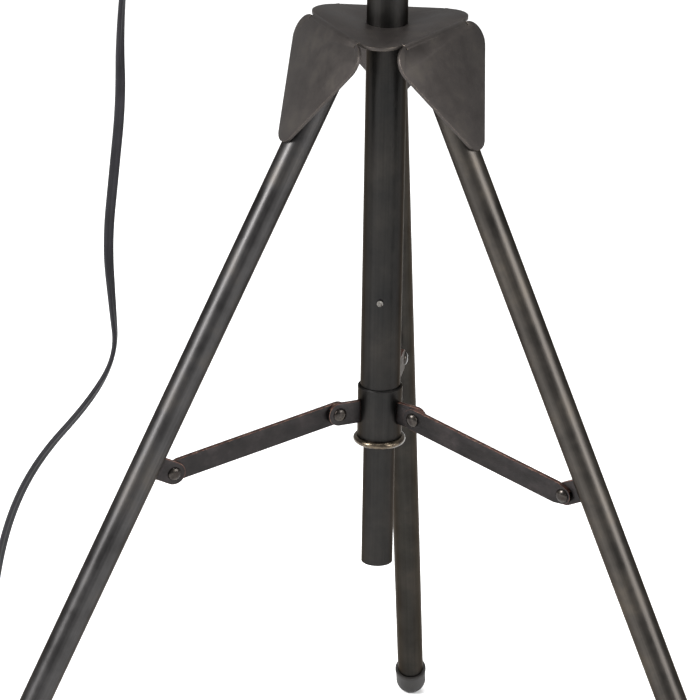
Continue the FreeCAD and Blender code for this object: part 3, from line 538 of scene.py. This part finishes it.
# ------------------------------------------------------------------ knobs
def lobed_knob(name, profile, place, lobes, bite, low, high):
    # a turned knob whose grip is fluted by pulling every other strip of the rim inwards
    obj = turned(name, profile, None, lobes * 4)
    only(obj)
    bpy.ops.object.mode_set(mode="EDIT")
    bpy.ops.mesh.select_mode(type="VERT")
    mesh = bmesh.from_edit_mesh(obj.data)
    for v in mesh.verts:
        a = math.atan2(v.co.y, v.co.x) / (2 * math.pi) * lobes * 4
        inside = low * MM < v.co.z < high * MM and v.co.xy.length > 8 * MM
        v.select_set(inside and round(a) % 4 == 0)
    mesh.select_flush_mode()
    bmesh.update_edit_mesh(obj.data)
    bpy.ops.transform.resize(value=(bite, bite, 1), center_override=(0, 0, 0))
    bpy.ops.object.mode_set(mode="OBJECT")
    rest(obj, place)
    dress(obj, KNOB)
    return soften(obj, 0.4, 30.0)


HEIGHT_GRIP = [(3.0, 0.0), (3.0, 15.7), (6.0, 15.7), (8.6, 17.0), (10.8, 18.6), (12.5, 21.0),
               (12.5, 29.0), (11.6, 30.8), (9.0, 31.8), (5.0, 32.3), (0.0, 32.5)]
TILT_GRIP = [(4.06, 0.0), (8.0, 0.0), (9.0, 3.0), (12.5, 4.6), (15.3, 6.4), (16.5, 8.4), (16.5, 17.6),
             (15.4, 19.6), (13.0, 20.8), (8.0, 21.6), (0.0, 22.0)]
place = shift(0, -10.7, 827.0) @ TO_MINUS_Y
height = lobed_knob("height_lock_knob", HEIGHT_GRIP, place, 9, 0.90, 18.0, 31.2)
fitted(height, ["height_knob"], "height_knob_body")
for sign, tag in ((-1, "front"), (1, "rear")):
    turn = TO_PLUS_Y if sign > 0 else TO_MINUS_Y
    place = shift(0, sign * 127.3, HEAD_Z) @ turn
    grip = lobed_knob("tilt_lock_knob_" + tag, TILT_GRIP, place, 12, 0.92, 5.0, 20.0)
    fitted(grip, ["tilt_knob_" + tag], "tilt_knob_%s_body" % tag)

# ------------------------------------------------------------------ head interior
LINING_WALL = [(113.6, 2.0), (113.6, 239.0), (113.3, 239.0), (113.3, 2.0)]
lining = turned("shade_lining", LINING_WALL, shift(-125, 0, HEAD_Z) @ TO_PLUS_X, 96, True)
dress(lining, ENAMEL)
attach(lining, "head")
HOLDER_WALL = [(14.0, 16.0), (14.0, 46.0), (16.5, 46.0), (18.5, 45.4), (19.4, 44.0), (19.4, 38.0),
               (21.0, 37.0), (21.0, 30.0), (20.2, 29.0), (20.2, 26.0), (21.0, 25.0), (21.0, 4.0),
               (19.0, 0.5), (0.0, 0.5)]
holder = turned("lampholder_shell", HOLDER_WALL, shift(-137.4, 0, HEAD_Z) @ TO_PLUS_X, 48)
dress(holder, HOLDER)
fitted(holder, ["lampholder"], "head")
THREAD_PITCH = 3.6
thread = []
for i in range(7):
    z = 5.0 + THREAD_PITCH * i
    thread += [(12.6, z), (13.2, z + 1.2), (13.2, z + 2.0), (12.6, z + 3.2)]
CAP_END = [(5.0, 0.0), (9.0, 0.6), (12.4, 3.0)]
GLOBE = [(13.2, 31.0), (14.4, 33.4), (17.0, 37.0), (21.2, 43.0), (25.0, 49.4), (27.6, 55.6), (29.4, 62.0),
         (30.0, 71.0), (29.4, 77.0), (27.8, 82.5), (25.2, 88.2), (21.6, 92.9), (17.0, 96.6), (11.6, 99.2),
         (5.6, 100.6), (0.0, 101.0)]
glass = turned("opal_bulb", CAP_END + thread + GLOBE, shift(-120.4, 0, HEAD_Z) @ TO_PLUS_X, 64)
dress(glass, OPAL)
fitted(glass, ["bulb"], "head")

# ------------------------------------------------------------------ cord, strain relief, switch and plug
# a ribbed taper below, a flange against the cap, and a neck inside it
RELIEF = [(3.75, -30.0), (4.8, -30.0), (5.0, -29.4), (5.0, -26.6), (4.5, -26.2), (4.5, -25.2),
          (5.3, -24.8), (5.4, -21.6), (4.8, -21.2), (4.8, -20.2), (5.7, -19.8), (5.8, -16.6),
          (5.2, -16.2), (5.2, -15.2), (6.1, -14.8), (6.3, -10.2), (8.3, -9.2), (8.5, -8.6), (8.5, -2.8),
          (8.2, -2.4), (5.5, -1.8), (5.5, 5.0), (3.75, 5.0)]
gland = turned("cord_strain_relief", RELIEF, shift(-168.0, 0, 1314.0), 32, True)
dress(gland, KNOB)
fitted(gland, ["cord_gland"], "head")

# the switch hangs level with SWITCH_Z, its window and rocker on its front
SWITCH_X, SWITCH_Z = -0.167, 1.136
shell = block("inline_switch_shell", (SWITCH_X, 0, SWITCH_Z), (0.020, 0.014, 0.044))
bpy.ops.object.mode_set(mode="EDIT")
pick(shell, lambda c, n: abs(n.z) > 0.9)
bpy.ops.mesh.inset(thickness=0.0012)
bpy.ops.mesh.extrude_region_move(TRANSFORM_OT_translate={"value": (0, 0, 0)})
for sign in (-1, 1):
    pick(shell, lambda c, n: n.z * sign > 0.9)
    bpy.ops.transform.translate(value=(0, 0, sign * 0.0075))
    bpy.ops.transform.resize(value=(0.62, 0.80, 1),
                             center_override=(SWITCH_X, 0, SWITCH_Z + sign * 0.0295))
pick(shell, lambda c, n: n.y < -0.9 and abs(c.z - SWITCH_Z) < 0.01)
bpy.ops.mesh.inset(thickness=0.0005)
bpy.ops.object.mode_set(mode="OBJECT")
soften(shell, 1.6, 30.0, 3)
dress(shell, SWITCH)
bezel = block("switch_window", (SWITCH_X, -0.0067, SWITCH_Z), (0.0125, 0.0009, 0.024))
bpy.ops.object.mode_set(mode="EDIT")
pick(bezel, lambda c, n: n.y < -0.9)
bpy.ops.mesh.inset(thickness=0.0014)
bpy.ops.transform.translate(value=(0, 0.0006, 0))
bpy.ops.object.mode_set(mode="OBJECT")
soften(bezel, 0.25, 30.0)
dress(bezel, SWITCH)
shell = joined("inline_switch_shell", shell, bezel)
fitted(shell, ["switch_body"], "mast")
rocker = block("switch_rocker_key", (SWITCH_X, -0.0072, SWITCH_Z), (0.0080, 0.0030, 0.0166))
bpy.ops.object.mode_set(mode="EDIT")
bpy.ops.mesh.select_all(action="SELECT")
bpy.ops.mesh.bisect(plane_co=(0, 0, SWITCH_Z), plane_no=(0, 0, 1))
bpy.ops.mesh.select_mode(type="VERT")
crown = bmesh.from_edit_mesh(rocker.data)
for v in crown.verts:
    v.select_set(v.co.y < -0.008 and abs(v.co.z - SWITCH_Z) < 0.002)
crown.select_flush_mode()
bmesh.update_edit_mesh(rocker.data)
# the middle of the rocker is lower than its two ends
bpy.ops.transform.translate(value=(0, 0.0012, 0))
bpy.ops.object.mode_set(mode="OBJECT")
soften(rocker, 0.4, 12.0, 2)
dress(rocker, KNOB)
fitted(rocker, ["switch_rocker"], "rocker")


def nurbs_line(name, points):
    data = bpy.data.curves.new(name, "CURVE")
    data.dimensions = "3D"
    data.resolution_u = 14
    spline = data.splines.new("NURBS")
    spline.points.add(len(points) - 1)
    for p, (x, y, z) in zip(spline.points, points):
        p.co = (x, y, z, 1.0)
    spline.order_u = 3
    spline.use_endpoint_u = True
    obj = bpy.data.objects.new(name, data)
    bpy.context.scene.collection.objects.link(obj)
    only(obj)
    bpy.ops.object.convert(target="MESH")
    line = [v.co.copy() for v in obj.data.vertices]
    bpy.data.objects.remove(obj)
    return line


CORE_R = 1.65


def cord_section():
    # section of a flat two-core cord, 6.6 mm by 3.3 mm, with a groove between its cores
    pts = []
    for core_x, first, groove in ((CORE_R, -62, 1), (-CORE_R, 118, -1)):
        for k in range(7):
            a = math.radians(first + 124 * k / 6)
            pts.append((core_x + CORE_R * math.cos(a), CORE_R * math.sin(a)))
        pts += [(groove * 0.42, groove * 1.02), (0.0, groove * 0.90), (-groove * 0.42, groove * 1.02)]
    return pts


SECTION = cord_section()


def flat_cord(name, route):
    # route: (point in mm, direction of the wide side); both follow the same kind of curve
    points = [Vector(p) * MM for p, w in route]
    sides = [p + Vector(w).normalized() * 0.01 for p, (q, w) in zip(points, route)]
    centre = nurbs_line(name + "_line", points)
    wide = nurbs_line(name + "_wide", sides)
    verts, faces = [], []
    n = len(SECTION)
    for i, c in enumerate(centre):
        t = (centre[min(i + 1, len(centre) - 1)] - centre[max(i - 1, 0)]).normalized()
        w = wide[i] - c
        w = (w - t * w.dot(t)).normalized()
        b = t.cross(w)
        for x, y in SECTION:
            verts.append(c + (w * x + b * y) * MM)
        if i:
            for k in range(n):
                k2 = (k + 1) % n
                faces.append(((i - 1) * n + k, (i - 1) * n + k2, i * n + k2, i * n + k))
    faces.append(tuple(range(n - 1, -1, -1)))
    faces.append(tuple((len(centre) - 1) * n + k for k in range(n)))
    data = bpy.data.meshes.new(name)
    data.from_pydata([tuple(v) for v in verts], [], faces)
    obj = bpy.data.objects.new(name, data)
    bpy.context.scene.collection.objects.link(obj)
    dress(obj, CORD)
    smooth(obj, 60.0)
    only(obj)
    bpy.ops.object.mode_set(mode="EDIT")
    bpy.ops.mesh.select_all(action="SELECT")
    bpy.ops.mesh.normals_make_consistent(inside=False)
    bpy.ops.object.mode_set(mode="OBJECT")
    length = sum((b - a).length for a, b in zip(centre, centre[1:]))
    return obj, centre, length


def facing(deg):
    # wide side of a hanging stretch, as an angle from +X seen from above
    return (math.cos(math.radians(deg)), math.sin(math.radians(deg)), 0.0)


UPPER_RUN = [((-168.0, 0, 1289.0), 95), ((-168.9, 0.5, 1258.0), 92), ((-168.4, -0.5, 1214.0), 100),
             ((-167.0, 0, 1160.0), 95)]
upper, upper_line, upper_len = flat_cord("lamp_cord_upper", [(p, facing(a)) for p, a in UPPER_RUN])
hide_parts("cord_upper")
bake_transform(upper)

# each point of the hanging run in mm, and the angle of the lead's wide side there
HANG = [((-167.0, 0, 1112.0), 95), ((-167.3, 0.4, 1040.0), 96), ((-166.2, -0.5, 945.0), 102),
        ((-165.6, 0.4, 850.0), 100), ((-164.2, 0.0, 755.0), 98), ((-163.8, 0.3, 680.0), 99),
        ((-169.1, 0.0, 615.0), 68), ((-168.4, 0.2, 570.0), 12), ((-173.1, 0.0, 522.0), 8),
        ((-177.8, 0.2, 474.0), 18), ((-174.6, 0.0, 431.0), 70), ((-171.9, 0.3, 398.0), 100),
        ((-188.6, 0.0, 364.5), 50), ((-226.6, 4.0, 317.4), 42), ((-249.0, 12.0, 266.0), 46),
        ((-262.0, 25.0, 200.0), 52), ((-272.0, 40.0, 125.0), 40), ((-278.0, 58.0, 62.0), 20)]
route = [(p, facing(a)) for p, a in HANG]
# down to the floor behind the left leg, lying flat
route += [((-276.0, 84.0, 22.0), (1, 0, 0)), ((-268.0, 120.0, 2.2), (1, 0.1, 0)),
          ((-259.0, 158.0, 1.8), (1, 0.1, 0)), ((-250.5, 196.0, 1.9), (1, 0.05, 0))]
# three and a half turns, wound clockwise seen from above: two side by side, then back over them.
# Each seat is a turn's radius and height; the lead crosses to the next one in the last part of a turn.
COIL = (-210.0, 232.0)
TURNS = 3.5
PER_TURN = 14
SEATS = [(39.8, 2.2), (33.2, 2.2), (33.2, 5.55), (39.8, 5.55)]
for i in range(int(TURNS * PER_TURN) + 1):
    turn_now, part = divmod(i / PER_TURN, 1.0)
    r0, z0 = SEATS[int(turn_now)]
    r1, z1 = SEATS[min(int(turn_now) + 1, 3)]
    ease = max(0.0, (part - 0.72) / 0.28)
    ease = ease * ease * (3 - 2 * ease)
    a = math.radians(180.0) - 2 * math.pi * i / PER_TURN
    r = r0 + (r1 - r0) * ease
    route.append(((COIL[0] + r * math.cos(a), COIL[1] + r * math.sin(a), z0 + (z1 - z0) * ease),
                  (math.cos(a), math.sin(a), 0)))
# off the coil and up into the plug
route += [((-170.6, 214.0, 5.2), (1, 0, 0)), ((-173.2, 194.0, 3.2), (1, 0, 0)),
          ((-177.2, 172.0, 1.9), (1, 0, 0)), ((-179.0, 150.0, 3.0), (1, 0, 0)),
          ((-177.0, 124.0, 6.0), (1, 0, 0))]
lower, lower_line, lower_len = flat_cord("lamp_cord_lower", route)
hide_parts("cord_lower", "cord_coil", "cord_tail")
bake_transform(lower)

plug = block("plug_shell", (-0.177, 0.096, 0.006), (0.024, 0.024, 0.012))
bpy.ops.object.mode_set(mode="EDIT")
pick(plug, lambda c, n: n.y > 0.9)
bpy.ops.mesh.extrude_region_move(TRANSFORM_OT_translate={"value": (0, 0.006, 0)})
bpy.ops.transform.resize(value=(0.62, 1, 0.86), center_override=(-0.177, 0.114, 0.006))
bpy.ops.mesh.extrude_region_move(TRANSFORM_OT_translate={"value": (0, 0.0105, 0)})
bpy.ops.transform.resize(value=(0.62, 1, 0.78), center_override=(-0.177, 0.1245, 0.006))
pick(plug, lambda c, n: n.y < -0.9)
bpy.ops.mesh.inset(thickness=0.0016)
bpy.ops.transform.translate(value=(0, -0.0006, 0))
bpy.ops.object.mode_set(mode="OBJECT")
soften(plug, 1.1, 30.0, 3)
dress(plug, SWITCH)
fitted(plug, ["plug"], "stand")
blades = refined("plug_blades", [BLADE], 0.25)

# a flat strap round the coil keeps its turns together
tie = block("coil_strap", (-0.210, 0.1955, 0.00385), (0.010, 0.0146, 0.0077))
bpy.ops.object.mode_set(mode="EDIT")
pick(tie, lambda c, n: abs(n.x) > 0.9)
bpy.ops.mesh.delete(type="FACE")
bpy.ops.object.mode_set(mode="OBJECT")
wall = tie.modifiers.new("wall", "SOLIDIFY")
wall.thickness = 0.0005
wall.offset = -1.0
bpy.ops.object.modifier_apply(modifier="wall")
soften(tie, 0.12, 30.0)
dress(tie, KNOB)
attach(tie, "stand")

# ------------------------------------------------------------------ floor, light and camera
only(None)
# just under the feet, so that their flats don't share its plane
bpy.ops.mesh.primitive_plane_add(size=60.0, location=(0, 0, -0.0004))
floor = bpy.context.active_object
floor.name = "studio_floor"
dress(floor, start("pale_studio_paper", 0.9, 0.0, "f4f4f4", IOR=1.4)[0])

world = bpy.data.worlds.new("studio")
world.use_nodes = True
sky = world.node_tree.nodes["Background"]
sky.inputs["Color"].default_value = (1.0, 1.0, 1.0, 1.0)
sky.inputs["Strength"].default_value = 0.46
bpy.context.scene.world = world


def softbox(name, place, aim, width, height, watts):
    light = bpy.data.lights.new(name, "AREA")
    light.shape = "RECTANGLE"
    light.size = width
    light.size_y = height
    light.energy = watts
    obj = bpy.data.objects.new(name, light)
    obj.location = place
    obj.rotation_euler = (Vector(aim) - Vector(place)).to_track_quat("-Z", "Y").to_euler()
    bpy.context.scene.collection.objects.link(obj)
    return obj


softbox("key_left", (-2.2, -1.6, 2.2), (0, 0, 0.5), 0.75, 2.0, 235.0)
softbox("fill_right", (2.4, -1.4, 1.6), (0, 0, 0.5), 1.7, 1.8, 108.0)
softbox("top", (0.2, 0.2, 3.0), (0, 0, 0.5), 1.6, 1.6, 60.0)

scene = bpy.context.scene
scene.view_settings.view_transform = "Standard"
scene.view_settings.look = "None"
camera = bpy.data.objects.new("camera", bpy.data.cameras.new("camera"))
scene.collection.objects.link(camera)
scene.camera = camera
# a long lens, from above, aimed low on the stand and turned a little; distances in metres
LENS_MM = 216.0411
AIM = Vector((-0.0199, 0, 0.409))
DISTANCE = 2.7081
ELEVATION = math.radians(21.61)
ROLL = math.radians(0.95)
TURN = math.radians(5.1)
back = Vector((0, -math.cos(ELEVATION), math.sin(ELEVATION)))
right0 = Vector((1, 0, 0))
up0 = back.cross(right0)
right = right0 * math.cos(ROLL) + up0 * math.sin(ROLL)
up = up0 * math.cos(ROLL) - right0 * math.sin(ROLL)
spin = Matrix.Rotation(TURN, 3, "Z")
where_at = spin @ (AIM + back * DISTANCE)
axes = Matrix((spin @ right, spin @ up, spin @ back)).transposed()
camera.matrix_world = Matrix.Translation(where_at) @ axes.to_4x4()
camera.data.sensor_width = 36.0
camera.data.lens = LENS_MM
camera.data.clip_start = 0.05
camera.data.clip_end = 100.0

bpy.context.view_layer.update()
